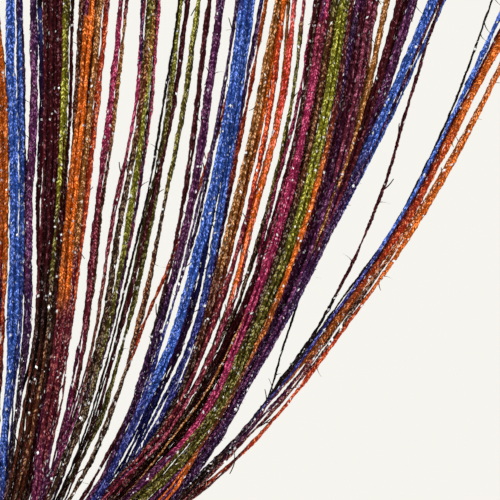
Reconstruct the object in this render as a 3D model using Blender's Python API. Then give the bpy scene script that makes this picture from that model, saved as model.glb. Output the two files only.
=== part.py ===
"""A string partition curtain, drawn to one side and held by a tie.

Pieces: a gathered heading with a rod pocket, a fringe of long flat strings that hangs from a narrow
root strip, and a cloth tie with an eye for a wall hook.

Axes: +X to the curtain's right as seen from the front, +Y to the back, +Z up. The origin is the middle
of the heading's top edge. Lengths are in metres.
"""

import math

import bmesh
import bpy
import numpy as np
from mathutils import Matrix, Vector

MM = 0.001

# Heading
HEAD_LEFT = -0.262
HEAD_RIGHT = 0.262
POCKET_DROP = 0.046
POCKET_HALF_DEPTH = 0.0185
SKIRT_BOTTOM = -0.080
CLOTH = 0.0022
SKIRT_CLOTH = 0.0030
FOLD_LENGTH = 0.066
FOLD_DEPTH = 0.0080
POCKET_RUFFLE = 0.0016
HEAD_SECTIONS = 38
POCKET_POINTS = 11
SEAM_OPENING = 0.22
SKIRT_ROWS = (0.30, 0.62, 1.0)

# Strings: each has a layer from front to back, a golden step on from its left neighbour's
SEAM_GAP = 0.0003
ROOT_STRIP_HEIGHT = 0.005
ROOT_STRIP_DEPTH = 0.004
STRING_LENGTH = 1.94
STRING_WIDTH = 0.0028
STRING_THICKNESS = 0.0014
GOLDEN_STEP = 0.618034
LAYER_START = 0.2
BUNDLE_PITCH = 0.0038
SETTLE_STEPS = 60
AREA_STEPS = 2000

# The swag: a window 300 mm high just above the tie, where the strings' places are tabled
SWAG_LEFT = -0.250
SWAG_TOP = -0.780
SWAG_ROWS_MM = (0, 102, 204, 300)
SWAG_DEPTH_MM = (27, 30, 36, 43)
SWAG_PITCH_MM = (2.7, 2.5, 1.7, 0.8)
MIDDLE_DRIFT = 0.4

# Tie
TIE_CENTRE = (SWAG_LEFT - 0.005, SWAG_TOP - 0.367)
TIE_TILT = math.radians(45)
BUNDLE_RADIUS = 0.0250
TIE_RADIUS = 0.0275
TIE_CLOTH = 0.0025
TIE_WIDTH = 0.022
TIE_RUN = 0.028
TIE_TAB_REACH = 0.100
TIE_EYE_FROM_END = 0.013
TIE_EYE_RADIUS = 0.006
TIE_RING_POINTS = 20

# Below the tie the bundle turns to hang straight down: (x and z from the tie, tilt in degrees, spread)
BEND = (-0.022, -0.036, 18, 1.06)
HANG = (-0.028, -0.100, 0, 1.14)
TAIL_SPREAD = 1.35

# One row for each lock of strings: its distance in mm from the swag's left side at the four heights
# of SWAG_ROWS_MM, and how many strings it holds. The rows run from left to right.
LOCK_COLUMNS = ("name", "top", "upper", "lower", "foot", "strings")
LOCKS = (
    ("far_plum", -14.4, -8.4, -6.0, -8.4, 2),
    ("far_pink", -9.0, -4.2, -2.4, -5.4, 2),
    ("left_orange", -3.6, 2.4, 3.0, -1.8, 2),
    ("left_blue", 5.7, 9.6, 9.0, 2.4, 3),
    ("left_purple", 10.5, 15.0, 14.4, 5.4, 1),
    ("dark_plum", 20.4, 22.2, 17.4, 7.2, 2),
    ("slate", 23.4, 24.6, 20.4, 8.4, 1),
    ("burgundy_a", 28.8, 27.6, 24.0, 10.2, 2),
    ("burgundy_b", 34.2, 32.4, 27.6, 12.6, 3),
    ("left_olive", 40.2, 36.6, 30.6, 15.0, 2),
    ("burgundy_c", 43.8, 39.0, 32.4, 16.8, 1),
    ("mauve_brown", 49.8, 42.0, 34.8, 19.2, 2),
    ("orange_a", 54.6, 46.8, 37.2, 21.6, 3),
    ("gold_a", 60.0, 50.7, 40.8, 24.0, 2),
    ("red_orange", 64.8, 54.0, 43.8, 25.8, 2),
    ("magenta_a", 73.0, 62.4, 49.2, 28.2, 2),
    ("gold_b", 76.8, 64.8, 52.2, 30.0, 1),
    ("thin_plum", 85.8, 74.7, 58.2, 33.0, 1),
    ("brown_olive", 91.2, 78.6, 63.6, 35.4, 3),
    ("pink_a", 95.4, 84.0, 67.8, 37.8, 1),
    ("thin_black", 104.4, 90.0, 71.4, 39.6, 1),
    ("thin_olive", 109.2, 94.2, 76.2, 41.4, 1),
    ("burgundy_d", 113.4, 96.0, 78.6, 43.2, 2),
    ("olive_a", 118.8, 103.8, 83.4, 45.6, 2),
    ("dark_burgundy", 126.0, 113.4, 93.0, 48.0, 2),
    ("purple_a", 132.0, 118.8, 97.8, 50.4, 3),
    ("dark_purple", 142.2, 125.4, 102.0, 52.8, 1),
    ("blue_main", 146.7, 130.2, 106.2, 55.2, 5),
    ("blue_side", 151.2, 136.2, 115.2, 58.2, 2),
    ("thin_purple", 153.3, 141.6, 118.8, 60.0, 1),
    ("thin_orange", 159.0, 144.0, 121.2, 61.2, 2),
    ("gold_c", 166.5, 149.2, 123.6, 62.4, 3),
    ("orange_b", 169.2, 157.0, 128.4, 63.6, 2),
    ("orange_c", 173.4, 159.9, 133.2, 64.8, 2),
    ("red_pink", 177.0, 162.0, 136.2, 66.0, 2),
    ("magenta_brown", 183.0, 165.6, 138.6, 67.2, 2),
    ("pink_b", 189.0, 170.4, 142.2, 69.0, 2),
    ("magenta_b", 195.3, 179.1, 147.6, 71.4, 3),
    ("dark_olive", 201.0, 183.6, 151.2, 76.2, 3),
    ("olive_bright", 207.0, 187.2, 154.8, 84.0, 4),
    ("blue_grey", 211.5, 190.8, 157.2, 86.4, 1),
    ("orange_d", 214.2, 193.2, 159.6, 88.8, 2),
    ("plum_a", 216.0, 195.6, 162.0, 90.0, 3),
    ("burgundy_e", 220.8, 201.6, 165.0, 91.8, 3),
    ("gold_d", 226.2, 207.0, 166.2, 93.0, 2),
    ("brown_a", 232.8, 210.0, 167.4, 94.2, 2),
    ("burgundy_f", 239.4, 213.0, 168.6, 95.4, 3),
    ("plum_b", 245.4, 215.4, 169.8, 96.6, 3),
    ("plum_c", 250.2, 217.2, 171.0, 97.8, 2),
    ("blue_right", 260.8, 219.6, 172.2, 99.0, 4),
    ("lavender", 265.2, 222.6, 174.0, 100.2, 1),
    ("lone_maroon", 268.0, 231.6, 186.6, 101.4, 1),
    ("outer_black", 295.2, 252.6, 189.6, 102.6, 1),
    ("outer_blue", 303.6, 254.4, 191.4, 103.8, 2),
    ("outer_orange", 309.0, 258.0, 195.0, 105.0, 3),
    ("outer_brown", 314.4, 265.2, 198.6, 107.4, 3),
    ("outer_red", 318.6, 268.2, 202.2, 110.4, 1),
)

# Stations along a string, counted in the levels of string_levels(): two long straight spans from the
# root, closer steps through the curve of the swag, then the tie, the turn and the tail
STATIONS = (0, 1, 2, 3, 3.5, 4, 4.5, 5, 5.5, 6, 7, 8, 9, 10)
TIE_LEVEL = 6


def clear_scene():
    for obj in list(bpy.data.objects):
        bpy.data.objects.remove(obj, do_unlink=True)


def cloth_material(name, colour, roughness):
    material = bpy.data.materials.new(name)
    material.use_nodes = True
    surface = material.node_tree.nodes["Principled BSDF"]
    surface.inputs["Base Color"].default_value = (*colour, 1.0)
    surface.inputs["Roughness"].default_value = roughness
    surface.inputs["Metallic"].default_value = 0.0
    return material


def solid_object(name, points, faces, material):
    """One named object from points and faces, with every face turned outwards."""
    mesh = bpy.data.meshes.new(name)
    mesh.from_pydata([tuple(map(float, p)) for p in points], [], faces)
    shape = bmesh.new()
    shape.from_mesh(mesh)
    bmesh.ops.recalc_face_normals(shape, faces=shape.faces)
    shape.to_mesh(mesh)
    shape.free()
    mesh.materials.append(material)
    obj = bpy.data.objects.new(name, mesh)
    bpy.context.scene.collection.objects.link(obj)
    return obj


def fold_wave(x):
    """Depth of the heading's soft, slightly uneven folds at x, as an array or a number."""
    turn = 2 * math.pi * (x - HEAD_LEFT) / FOLD_LENGTH
    uneven = 1 + 0.22 * np.sin(0.37 * turn + 1.0)
    return FOLD_DEPTH * uneven * np.sin(turn + 0.5 * np.sin(0.29 * turn))


def ring_and_flap(sections):
    """Points and faces of a tube of cloth with a flap along one side.

    Each section gives its outer ring, its inner ring, and the flap's rows of (front, back). The flap
    hangs between the first and the last point of the outer ring.
    """
    rings = len(sections[0][0])
    rows = len(sections[0][2])
    size = 2 * rings + 2 * rows
    points = []
    for outer, inner, flap in sections:
        points += list(outer) + list(inner) + [p for row in flap for p in row]

    def edge_pair(base, row):
        """The front and back corner of a flap row; row -1 is where the flap leaves the ring."""
        if row < 0:
            return base, base + rings - 1
        first = base + 2 * rings + 2 * row
        return first, first + 1

    faces = []
    for s in range(len(sections) - 1):
        here = s * size
        there = here + size
        for k in range(rings):
            after = (k + 1) % rings
            if after:
                faces.append((here + k, here + after, there + after, there + k))
            inner_here = here + rings
            inner_there = there + rings
            faces.append((inner_here + k, inner_there + k, inner_there + after, inner_here + after))
        for row in range(rows):
            f0, b0 = edge_pair(here, row - 1)
            f1, b1 = edge_pair(here, row)
            g0, c0 = edge_pair(there, row - 1)
            g1, c1 = edge_pair(there, row)
            faces.append((f0, f1, g1, g0))
            faces.append((b0, c0, c1, b1))
        front, back = edge_pair(here, rows - 1)
        front_there, back_there = edge_pair(there, rows - 1)
        faces.append((front, back, back_there, front_there))
    for base in (0, (len(sections) - 1) * size):
        for k in range(rings):
            after = (k + 1) % rings
            faces.append((base + k, base + after, base + rings + after, base + rings + k))
        for row in range(rows):
            f0, b0 = edge_pair(base, row - 1)
            f1, b1 = edge_pair(base, row)
            faces.append((f0, b0, b1, f1))
    return points, faces


def heading_section(x):
    """The heading cut at x: the rod pocket's two rings and the sewn skirt below it."""
    half_height = POCKET_DROP / 2
    wave = float(fold_wave(x)) / FOLD_DEPTH
    outer, inner = [], []
    for k in range(POCKET_POINTS):
        # The ring starts and ends at the pocket's foot, where the skirt leaves it.
        angle = 2 * math.pi * (k + SEAM_OPENING) / (POCKET_POINTS - 1 + 2 * SEAM_OPENING)
        ruffle = POCKET_RUFFLE * wave * abs(math.sin(angle))
        for ring, inset in ((outer, 0.0), (inner, CLOTH)):
            depth = (POCKET_HALF_DEPTH + ruffle - inset) * math.sin(angle)
            height = -half_height - (half_height - inset) * math.cos(angle)
            ring.append((x, -depth, height))
    flap = []
    for drop in SKIRT_ROWS:
        z = -POCKET_DROP + drop * (SKIRT_BOTTOM + POCKET_DROP)
        middle = float(fold_wave(x)) * drop
        flap.append(((x, middle - SKIRT_CLOTH / 2, z), (x, middle + SKIRT_CLOTH / 2, z)))
    return outer, inner, flap


def build_heading(material):
    stops = np.linspace(HEAD_LEFT, HEAD_RIGHT, HEAD_SECTIONS + 1)
    points, faces = ring_and_flap([heading_section(float(x)) for x in stops])
    return solid_object("heading", points, faces, material)


def string_rows():
    """For each string: its lock's places at the four swag heights, spread within the lock, in metres."""
    rows = []
    for lock in LOCKS:
        values = dict(zip(LOCK_COLUMNS, lock))
        count = values["strings"]
        for number in range(count):
            aside = number - (count - 1) / 2
            heights = (values["top"], values["upper"], values["lower"], values["foot"])
            rows.append([(h + aside * p) * MM for h, p in zip(heights, SWAG_PITCH_MM)])
    return np.array(rows)


def bundle_places(count):
    """Each string's layer and its place in the tied bundle, a disc of radius 1, in order from the left."""
    rank = (np.arange(count) + 0.5) / count
    angle = np.linspace(0, math.pi, AREA_STEPS)
    # The share of the disc's area to the left of a chord at -cos(angle)
    area = (angle - np.sin(angle) * np.cos(angle)) / math.pi
    across = -np.cos(np.interp(rank, area, angle))
    layer = (LAYER_START + np.arange(count) * GOLDEN_STEP) % 1.0 - 0.5
    places = np.stack([across, 2 * layer * np.sqrt(1 - across**2)], 1)
    # Strings that lie too close push each other apart, and the rim holds them in.
    for _ in range(SETTLE_STEPS):
        gaps = places[:, None] - places[None]
        reach = np.linalg.norm(gaps, axis=2) + np.eye(count)
        push = np.clip(BUNDLE_PITCH / BUNDLE_RADIUS - reach, 0, None) / reach
        places = places + 0.5 * (push[..., None] * gaps).sum(1)
        places /= np.maximum(1, np.linalg.norm(places, axis=1))[:, None]
    return layer, places[:, 0], places[:, 1]


def section_points(centre, tilt, across, depth):
    """Points of a bundle section: across runs square to the bundle in the XZ plane, depth along Y."""
    x = centre[0] + across * math.cos(tilt)
    z = centre[1] - across * math.sin(tilt)
    return np.stack([x, depth, z], 1)


def string_levels():
    """Where every string is at eleven levels from root to end, as an array (string, level, xyz).

    Levels: root, middle, the four swag heights, into and out of the tie, bend, hang and end.
    """
    swag = string_rows()
    count = len(swag)
    layer, across, deep = bundle_places(count)
    pitch = (HEAD_RIGHT - HEAD_LEFT) / count
    root_x = HEAD_LEFT + (np.arange(count) + 0.5) * pitch
    root_z = SKIRT_BOTTOM - SEAM_GAP - ROOT_STRIP_HEIGHT
    root = np.stack([root_x, fold_wave(root_x), np.full(count, root_z)], 1)
    tabled = []
    for column, (drop, depth) in enumerate(zip(SWAG_ROWS_MM, SWAG_DEPTH_MM)):
        x = SWAG_LEFT + swag[:, column]
        z = np.full(count, SWAG_TOP - drop * MM)
        tabled.append(np.stack([x, layer * depth * MM, z], 1))
    # Half way down to the swag a string has gone less than half of its way aside.
    middle = root + (tabled[0] - root) * np.array([MIDDLE_DRIFT, 0.5, 0.5])
    radius = BUNDLE_RADIUS
    levels = [root, middle, *tabled]
    for offset in (-TIE_RUN / 2, TIE_RUN / 2):
        centre = (TIE_CENTRE[0] - offset * math.sin(TIE_TILT), TIE_CENTRE[1] - offset * math.cos(TIE_TILT))
        levels.append(section_points(centre, TIE_TILT, radius * across, radius * deep))
    for dx, dz, tilt, spread in (BEND, HANG):
        centre = (TIE_CENTRE[0] + dx, TIE_CENTRE[1] + dz)
        reach = radius * spread
        levels.append(section_points(centre, math.radians(tilt), reach * across, reach * deep))
    used = sum(np.linalg.norm(b - a, axis=1) for a, b in zip(levels, levels[1:]))
    end = levels[-1].copy()
    end[:, 0] = TIE_CENTRE[0] + HANG[0] + radius * TAIL_SPREAD * across
    end[:, 1] = radius * TAIL_SPREAD * deep
    end[:, 2] -= STRING_LENGTH - used
    return np.stack([*levels, end], 1)


def along_strings(levels, stations):
    """Smooth curves through the levels, read at the stations, as (points, directions)."""
    steps = np.linalg.norm(np.diff(levels, axis=1), axis=2).mean(0)
    knots = np.concatenate([[0.0], np.cumsum(steps)])
    slopes = np.diff(levels, axis=1) / np.diff(knots)[None, :, None]
    before, after = np.diff(knots)[:-1], np.diff(knots)[1:]
    inner = slopes[:, :-1] * after[None, :, None] + slopes[:, 1:] * before[None, :, None]
    inner = inner / (before + after)[None, :, None]
    tangents = np.concatenate([slopes[:, :1], inner, slopes[:, -1:]], 1)
    # The strings run straight through the tie.
    tangents[:, TIE_LEVEL] = slopes[:, TIE_LEVEL]
    tangents[:, TIE_LEVEL + 1] = slopes[:, TIE_LEVEL]
    points, directions = [], []
    for station in stations:
        k = min(int(station), levels.shape[1] - 2)
        t = station - k
        span = knots[k + 1] - knots[k]
        p0, p1 = levels[:, k], levels[:, k + 1]
        m0, m1 = tangents[:, k] * span, tangents[:, k + 1] * span
        points.append(
            (2 * t**3 - 3 * t**2 + 1) * p0
            + (t**3 - 2 * t**2 + t) * m0
            + (3 * t**2 - 2 * t**3) * p1
            + (t**3 - t**2) * m1
        )
        way = (
            6 * (t**2 - t) * (p0 - p1)
            + (3 * t**2 - 4 * t + 1) * m0
            + (3 * t**2 - 2 * t) * m1
        )
        directions.append(way / np.linalg.norm(way, axis=1, keepdims=True))
    return np.stack(points, 1), np.stack(directions, 1)


def string_corners(points, directions):
    """Three corners of each string's flat triangular section at each station: left, right and back."""
    side = np.cross(np.array([0.0, -1.0, 0.0]), directions)
    side /= np.linalg.norm(side, axis=2, keepdims=True)
    deep = np.cross(side, directions)
    deep *= np.sign(deep[..., 1:2])
    half = STRING_WIDTH / 2
    front = -STRING_THICKNESS / 3 * deep
    left = points - half * side + front
    right = points + half * side + front
    back = points + 2 * STRING_THICKNESS / 3 * deep
    return np.stack([left, right, back], 2)


def build_strings(material):
    """The root strip and all the strings that are fused into its underside, as one solid."""
    points, directions = along_strings(string_levels(), STATIONS)
    corners = string_corners(points, directions)
    count, stations = corners.shape[:2]
    top_z = SKIRT_BOTTOM - SEAM_GAP
    low_z = top_z - ROOT_STRIP_HEIGHT
    # At its root each section lies flat in the strip's underside and follows the strip's fold.
    corners[:, 0, :, 2] = low_z
    for corner, aside in enumerate((-STRING_THICKNESS / 3, -STRING_THICKNESS / 3, 2 * STRING_THICKNESS / 3)):
        corners[:, 0, corner, 1] = fold_wave(corners[:, 0, corner, 0]) + aside
    borders = np.linspace(HEAD_LEFT, HEAD_RIGHT, count + 1)
    verts = []
    for x in borders:
        for aside in (-ROOT_STRIP_DEPTH / 2, ROOT_STRIP_DEPTH / 2):
            for z in (low_z, top_z):
                verts.append((x, float(fold_wave(x)) + aside, z))
    first = len(verts)
    verts += [tuple(p) for p in corners.reshape(-1, 3)]
    faces = []
    for i in range(count):
        here, there = 4 * i, 4 * i + 4
        a, b, c, d = here, there, there + 2, here + 2
        left, right, back = (first + 3 * stations * i + k for k in range(3))
        faces += [(a, b, right), (a, right, left), (b, c, right), (c, back, right)]
        faces += [(c, d, back), (d, left, back), (d, a, left)]
        faces.append((here, here + 1, there + 1, there))
        faces.append((here + 2, there + 2, there + 3, here + 3))
        faces.append((here + 1, here + 3, there + 3, there + 1))
        for s in range(stations - 1):
            base = first + 3 * (stations * i + s)
            for k in range(3):
                after = (k + 1) % 3
                faces.append((base + k, base + after, base + 3 + after, base + 3 + k))
        tip = first + 3 * (stations * (i + 1) - 1)
        faces.append((tip, tip + 1, tip + 2))
    last = 4 * count
    faces.append((0, 2, 3, 1))
    faces.append((last, last + 1, last + 3, last + 2))
    return solid_object("strings", verts, faces, material)


def tie_section(offset):
    """The tie cut square to the bundle, offset along it: a ring round the strings and a flat tab."""
    axis = Vector((-math.sin(TIE_TILT), 0.0, -math.cos(TIE_TILT)))
    across = Vector((math.cos(TIE_TILT), 0.0, -math.sin(TIE_TILT)))
    deep = Vector((0.0, 1.0, 0.0))
    centre = Vector((TIE_CENTRE[0], 0.0, TIE_CENTRE[1])) + offset * axis
    outer, inner = [], []
    half_tab = TIE_CLOTH
    start = math.asin(half_tab / (TIE_RADIUS + TIE_CLOTH))
    for k in range(TIE_RING_POINTS):
        # The ring starts and ends on the side that faces the hook, where the tab leaves it.
        angle = start + (2 * math.pi - 2 * start) * k / (TIE_RING_POINTS - 1)
        way = -math.cos(angle) * across - math.sin(angle) * deep
        outer.append(centre + (TIE_RADIUS + TIE_CLOTH) * way)
        inner.append(centre + TIE_RADIUS * way)
    flap = []
    for reach in (0.5 * (TIE_RADIUS + TIE_TAB_REACH), TIE_TAB_REACH):
        root = centre - reach * across
        flap.append((root - half_tab * deep, root + half_tab * deep))
    return outer, inner, flap


def build_tie(material):
    """The cloth tie: a band round the bundle whose sewn ends make a tab with an eye."""
    half = TIE_WIDTH / 2
    points, faces = ring_and_flap([tie_section(offset) for offset in (-half, 0.0, half)])
    tie = solid_object("tie", points, faces, material)
    across = Vector((math.cos(TIE_TILT), 0.0, -math.sin(TIE_TILT)))
    centre = Vector((TIE_CENTRE[0], 0.0, TIE_CENTRE[1])) - (TIE_TAB_REACH - TIE_EYE_FROM_END) * across
    cutter_shape = bmesh.new()
    bmesh.ops.create_cone(
        cutter_shape,
        cap_ends=True,
        segments=16,
        radius1=TIE_EYE_RADIUS,
        radius2=TIE_EYE_RADIUS,
        depth=8 * TIE_CLOTH,
        matrix=Matrix.Translation(centre) @ Matrix.Rotation(math.pi / 2, 4, "X"),
    )
    cutter_mesh = bpy.data.meshes.new("eye_cutter")
    cutter_shape.to_mesh(cutter_mesh)
    cutter_shape.free()
    cutter = bpy.data.objects.new("eye_cutter", cutter_mesh)
    bpy.context.scene.collection.objects.link(cutter)
    cutter.hide_render = True
    cutter.display_type = "WIRE"
    eye = tie.modifiers.new("eye", "BOOLEAN")
    eye.operation = "DIFFERENCE"
    eye.solver = "EXACT"
    eye.object = cutter
    return tie


def main():
    clear_scene()
    build_heading(cloth_material("heading_cloth", (0.16, 0.03, 0.07), 0.75))
    build_strings(cloth_material("string_yarn", (0.28, 0.06, 0.12), 0.55))
    build_tie(cloth_material("tie_cloth", (0.13, 0.03, 0.09), 0.70))


main()
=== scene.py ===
"""Looks of the string partition curtain: knitted strings, tinsel, gathered heading and tie.

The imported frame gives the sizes. Axes: +X to the curtain's right as seen from its front, +Y to its
back, +Z up, with the origin in the middle of the heading's top edge. Lengths are in metres.
"""

import math

import bmesh
import bpy
import numpy as np
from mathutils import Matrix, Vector


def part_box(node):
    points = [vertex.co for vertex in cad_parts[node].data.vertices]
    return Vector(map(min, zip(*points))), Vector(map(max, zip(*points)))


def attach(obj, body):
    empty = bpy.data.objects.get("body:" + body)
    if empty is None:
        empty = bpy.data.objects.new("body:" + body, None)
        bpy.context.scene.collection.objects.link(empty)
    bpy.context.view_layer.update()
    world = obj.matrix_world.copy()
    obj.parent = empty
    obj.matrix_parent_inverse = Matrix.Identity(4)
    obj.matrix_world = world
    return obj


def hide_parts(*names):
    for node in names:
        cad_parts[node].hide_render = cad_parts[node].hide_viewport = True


MM = 0.001
TURN = 2 * math.pi
SEED = 7

# The camera looks straight along +Y and sees PHOTO_WIDTH of the curtain's middle plane.
PHOTO_WIDTH = 0.300
PHOTO_PIXELS = 500
PIXEL = PHOTO_WIDTH / PHOTO_PIXELS
VIEW_LEFT = -0.250
VIEW_TOP = -0.780
VIEW_X = VIEW_LEFT + PHOTO_WIDTH / 2
VIEW_Z = VIEW_TOP - PHOTO_WIDTH / 2
CAMERA_DISTANCE = 1.20
SENSOR_MM = 36.0

# Studio: each light's name, place, size, power and colour, and the floor's half width and height
SKY = (246, 244, 238)
LIGHTS = (
    ("key", (-0.9, -1.6, -0.1), 0.9, 9, (1.0, 0.98, 0.95)),
    ("fill", (1.4, -1.2, -1.2), 1.2, 4, (0.96, 0.98, 1.0)),
)
FLOOR_REACH = 3
FLOOR_Z = -2.02
FLOOR_COLOUR, FLOOR_ROUGHNESS = (0.80, 0.79, 0.76), 0.8

# Heading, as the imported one
POCKET_DROP = 0.046
POCKET_HALF_DEPTH = 0.0185
SKIRT_BOTTOM = -0.080
FOLD_LENGTH = 0.066
FOLD_DEPTH = 0.0080
POCKET_RUFFLE = 0.0016
POCKET_POINTS = 11
SEAM_OPENING = 0.22
CLOTH = 0.0022
SKIRT_CLOTH = 0.0030

# Its finer form: the seam's gathers, the points of its mesh, and its hem as shares of the skirt's drop
GATHER_DEPTH, GATHER_WAVES = 0.0011, (0.083, 0.0137, 0.0231)
POCKET_SOFTNESS, POCKET_WAVE = 0.0005, 0.0480
TOP_CLEARANCE = 0.0001
HEADING_SECTIONS = 301
RING_POINTS = 35
SKIRT_ROWS = (0.08, 0.20, 0.34, 0.48, 0.62, 0.72, 0.77, 0.86, 0.95, 1.0)
SKIRT_HEM, SKIRT_EDGE = (0.72, 0.77), (0.95, 1.0)
SEWN_ROWS = (0.08, 0.80)
HEADING_COLOUR = (0.16, 0.03, 0.07)
HEADING_THREAD = (0.24, 0.06, 0.11)
HEADING_RIB = 0.0016

# Sewn stitches: their pitch, their length, and how thick they are on the heading and on the tie
SEWN_PITCH = 0.0040
SEWN_LENGTH = 0.0027
SEWN_INSET = 0.003
HEADING_SEWN = 0.00045
TIE_SEWN = 0.00050

# Twisted root cord along the hem
CORD_DROP = 0.0014
CORD_INSET = 0.0005
CORD_STEP = 0.0008
CORD_LAY = 0.0060
CORD_OFFSET = 0.0011
CORD_RADIUS, CORD_UNEVENNESS = 0.00170, 0.05
CORD_SIDES = 8

# Strings
STRING_LENGTH = 1.94
STRING_THICKNESS = 0.0012
STITCH, STITCH_SPREAD = 0.0020, (0.95, 1.35)
ROOT_DROP = 0.0026
MIDDLE_DRIFT = 0.4

# In depth the strings take turns by GOLDEN_STEP. Those of a lock with a layer have LAYER_TURNS of that.
GOLDEN_STEP = 0.618034
LAYER_START = 0.2
LAYER_TURNS = 0.25
BUNDLE_PITCH = 0.0030
SETTLE_STEPS = 60
AREA_STEPS = 2000

# Strays from the smooth curves, each with its wavelengths: a wander, seen and in depth, and a crimp.
# The wavelengths vary from string to string by WAVE_SPREAD.
WAVE_SPREAD = (0.75, 1.35)
WANDER, WANDER_WAVES = 0.00030, (0.070, 0.130, 0.210)
DEEP_WANDER, DEEP_WANDER_WAVES = 0.0005, (0.070, 0.130)
CRIMP, CRIMP_WAVES = 0.00013, (0.0065, 0.012, 0.021)
# The strings turn by radians about their own length, and swell by shares of their width.
TWIST, TWIST_WAVES, TWIST_START = 0.60, (0.025, 0.045, 0.095), 0.4
SWELL, SWELL_WAVES, OWN_SWELL = 0.10, (0.009, 0.028), 0.08
WIDTH_LIMITS, THICKNESS_LIMITS = (0.7, 1.35), (0.8, 1.2)
RAGGED = 0.10
STITCH_STEP = 0.07
ZIGZAG = 0.20
# The shares by which they wander and twist more, and are narrower, low in the window
LOW_WANDER, LOW_TWIST, LOW_NARROWING = 1.6, 0.7, 0.20
TAIL_WANDER = 0.8
# The levels over which the strings come free of the root, are taken up by the tie, come free again in
# the tail, and get low in the window
FREE_FROM, FREE_TO, TAIL_FROM, LOW_DOWN = (0.02, 0.6), (7.0, 7.8), (9.2, 11.0), (4.2, 6.2)

# Dyes: the levels where they come again above and below the window, how far a string's own changes
# move up and down, where a dye changes to the next, and how the tone varies
DYES_ABOVE = (0.1, 1.8)
DYES_BELOW = (8.2, 12.0)
DYE_SHIFT, DYE_SHIFT_RATE, DYE_SHIFT_START = 0.30, 2.1, 6.28
DYE_CHANGE = (0.3, 0.7)
TONE, TONE_WAVES, OWN_TONE, TONE_LIMITS = 0.16, (0.011, 0.037), 0.12, (0.45, 1.6)

# Yarn's finish: gloss, relief, the filaments' fuzz, the streaks' tones, and the knit's painted shade in
# the gaps and painted highlight on the stitches
YARN_ROUGHNESS, YARN_SPECULAR = 0.70, 0.10
KNIT_LEAN = 3.0
KNIT_SHARE = 0.30
KNIT_PAINTED_SHADING = (0.36, 1.36)
KNIT_RELIEF = 0.0004
FUZZ_SCALE = 1500.0
STREAK_SCALE = (14.0, 0.35, 1.0)
STREAK_TONES = (0.65, 1.35)
# Its painted highlights, which stand partly for a plied bright thread: dots round the string and per
# stitch, their soft edge, which are chosen, the patches that have more, and how much brighter than the dye
# they are, by the dye's lightness
DOTS_AROUND, DOTS_PER_STITCH, DOT_UNEVENNESS = 4.0, 1.25, 0.65
DOT_EDGE = (0.46, 0.30)
DOTS_CHOSEN = (0.44, 0.66)
PATCH_SCALE = 260.0
PATCH_EDGE = (0.80, 1.05)
HIGHLIGHT_GAIN, HIGHLIGHT_LIFT = 5.0, (0.15, 0.12, 0.13)
DYE_LIGHTNESS, OWN_TINT = (0.02, 0.10), (0.12, 0.50)
# Its tinsel specks
SPECK_SCALE = 1000.0
SPECK_EDGE = (0.74, 0.79)
SPECK_COLOUR, SPECK_ROUGHNESS = (0.80, 0.78, 0.80), 0.35

# Tinsel pieces: how many, their lengths and widths. The rest is common to both. None lies on a root,
# which ends at the level ROOT_END.
ROOT_END = 0.05
GLINTS = (11500, (0.0013, 0.0030), (0.0009, 0.0019))
SPECKS = (4500, (0.0006, 0.0013), (0.0003, 0.0005))
TINSEL_IN_WINDOW = 0.45
TINSEL_SLANT = 0.9
TINSEL_SEAT = 0.98
TINSEL_LIFT, TINSEL_CREST, TINSEL_ROOT = 0.00030, 0.00016, 0.0001
TINSEL_COLOURS = ((0.78, 0.80, 0.88), (1.0, 1.0, 1.0))
TINSEL_ROUGHNESS, TINSEL_METAL = (0.18, 0.45), 0.4
TINSEL_SCALE = 700.0

# Loose fibres
FIBRES = 2200
FIBRES_IN_WINDOW = 0.40
FIBRE_LENGTH = (0.0042, 0.0088)
FIBRE_RADIUS, FIBRE_TAPER = 0.00056, 0.4
FIBRE_LEAN = (0.20, 0.85)
FIBRE_SWAY = 0.8
FIBRE_CURL = 2.0
FIBRE_STEPS = 5
FIBRE_SHADE = 0.25

# Heights of the photograph, in its pixels from the top, at which the locks' places are tabled
ROWS_PX = (0, 98, 219, 325, 428, 500)
ROW_DEPTH = (0.027, 0.028, 0.031, 0.035, 0.039, 0.043)
ROW_PITCH_SHARE = (1.0, 1.0, 1.0, 1.0, 1.0, 0.85)
# How far a string strays from its place in the lock at those rows, in pixels
ROW_STRAY = (0.3, 0.4, 0.5, 0.9, 1.8, 2.2)

# Tie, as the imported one: BEND and HANG are x and z from its centre, tilt in degrees and spread.
TIE_CENTRE = (-0.255, -1.147)
TIE_TILT = math.radians(45)
BUNDLE_RADIUS = 0.0250
TIE_RADIUS = 0.0275
TIE_CLOTH = 0.0025
TIE_WIDTH = 0.022
TIE_RUN = 0.028
TIE_TAB_REACH = 0.100
TIE_EYE_FROM_END = 0.013
TIE_EYE_RADIUS = 0.006
BEND = (-0.022, -0.036, 18, 1.06)
HANG = (-0.028, -0.100, 0, 1.14)
TAIL_SPREAD = 1.35

# Its finer form: the points of its mesh, its hems as shares of half its width, its soft creases, the
# thinner edge and tip, and its stitches
TIE_ROWS, TIE_RING_STEPS, TAB_STEPS, EYE_POINTS = 15, 91, 19, 40
TIE_HEM, TIE_EDGE = (0.72, 0.80), (0.86, 1.0)
TIE_CREASE, TIE_HEM_RISE, TIE_EDGE_FALL = 0.0006, 0.0005, 0.0009
CREASE_RATES, SWAY_RATES = (5.0, 6.0), (140.0, 2.0)
TAB_SWAY, TAB_TIP, TAB_TIP_FALL = 0.0005, 0.004, 0.0008
TAB_HEM_SHARE = 0.12
EYE_CUT = 0.010
EYE_STITCHES, EYE_STITCH_OUT = 32, 0.0014
TIE_STITCH_ROWS = (-0.0085, 0.0085)
TAB_STITCHES = (0.036, 0.097)
BAND_STITCH_START, BAND_STITCH_TURN = 0.25, 0.13
TIE_COLOUR = (0.13, 0.03, 0.09)
TIE_THREAD = (0.22, 0.07, 0.16)
TIE_RIB = 0.0012

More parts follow.
